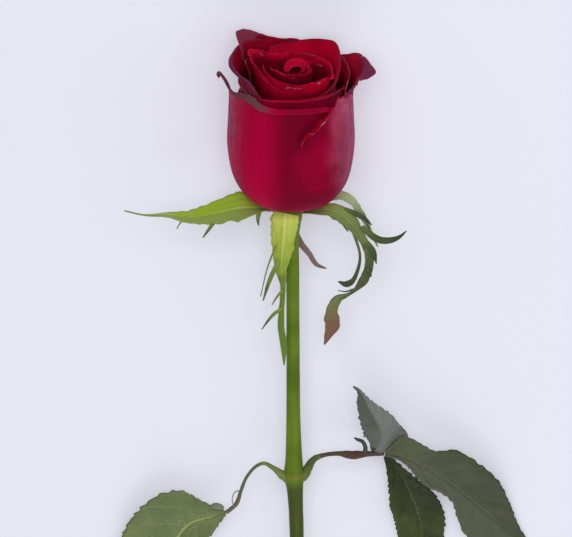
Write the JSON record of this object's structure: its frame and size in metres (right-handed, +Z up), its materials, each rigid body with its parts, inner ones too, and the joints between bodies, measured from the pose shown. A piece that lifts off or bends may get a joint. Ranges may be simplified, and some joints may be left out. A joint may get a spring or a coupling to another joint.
{
  "type": "cut rose",
  "caption": "Cut red rose lying down: a half-open layered bloom, reflexed sepals with side lobes, a bare stem and two leaves from one joint.",
  "frame": {"origin": "the flattened spot under the bloom's belly that the lying rose rests on", "axes": "+Y along the stem from the cut end to the bloom, +Z up from the table, +X to the right seen from above with the bloom at the top"},
  "size_m": [0.1536, 0.2984, 0.0462],
  "materials": {
    "petals": "velvety",
    "stem": "satin",
    "sepals": "satin",
    "leaf_stalks": "satin",
    "leaves": "satin"
  },
  "bodies": {
    "root": {"bloom": "petals", "stem": "stem", "sepal_left": "sepals", "sepal_front": "sepals", "sepal_right": "sepals", "sepal_back_right": "sepals", "sepal_back": "sepals", "left_petiole": "leaf_stalks", "right_petiole": "leaf_stalks", "left_leaflet": "leaves", "right_leaflet_upper": "leaves", "right_leaflet_end": "leaves", "right_leaflet_lower": "leaves"}
  },
  "joints": []
}
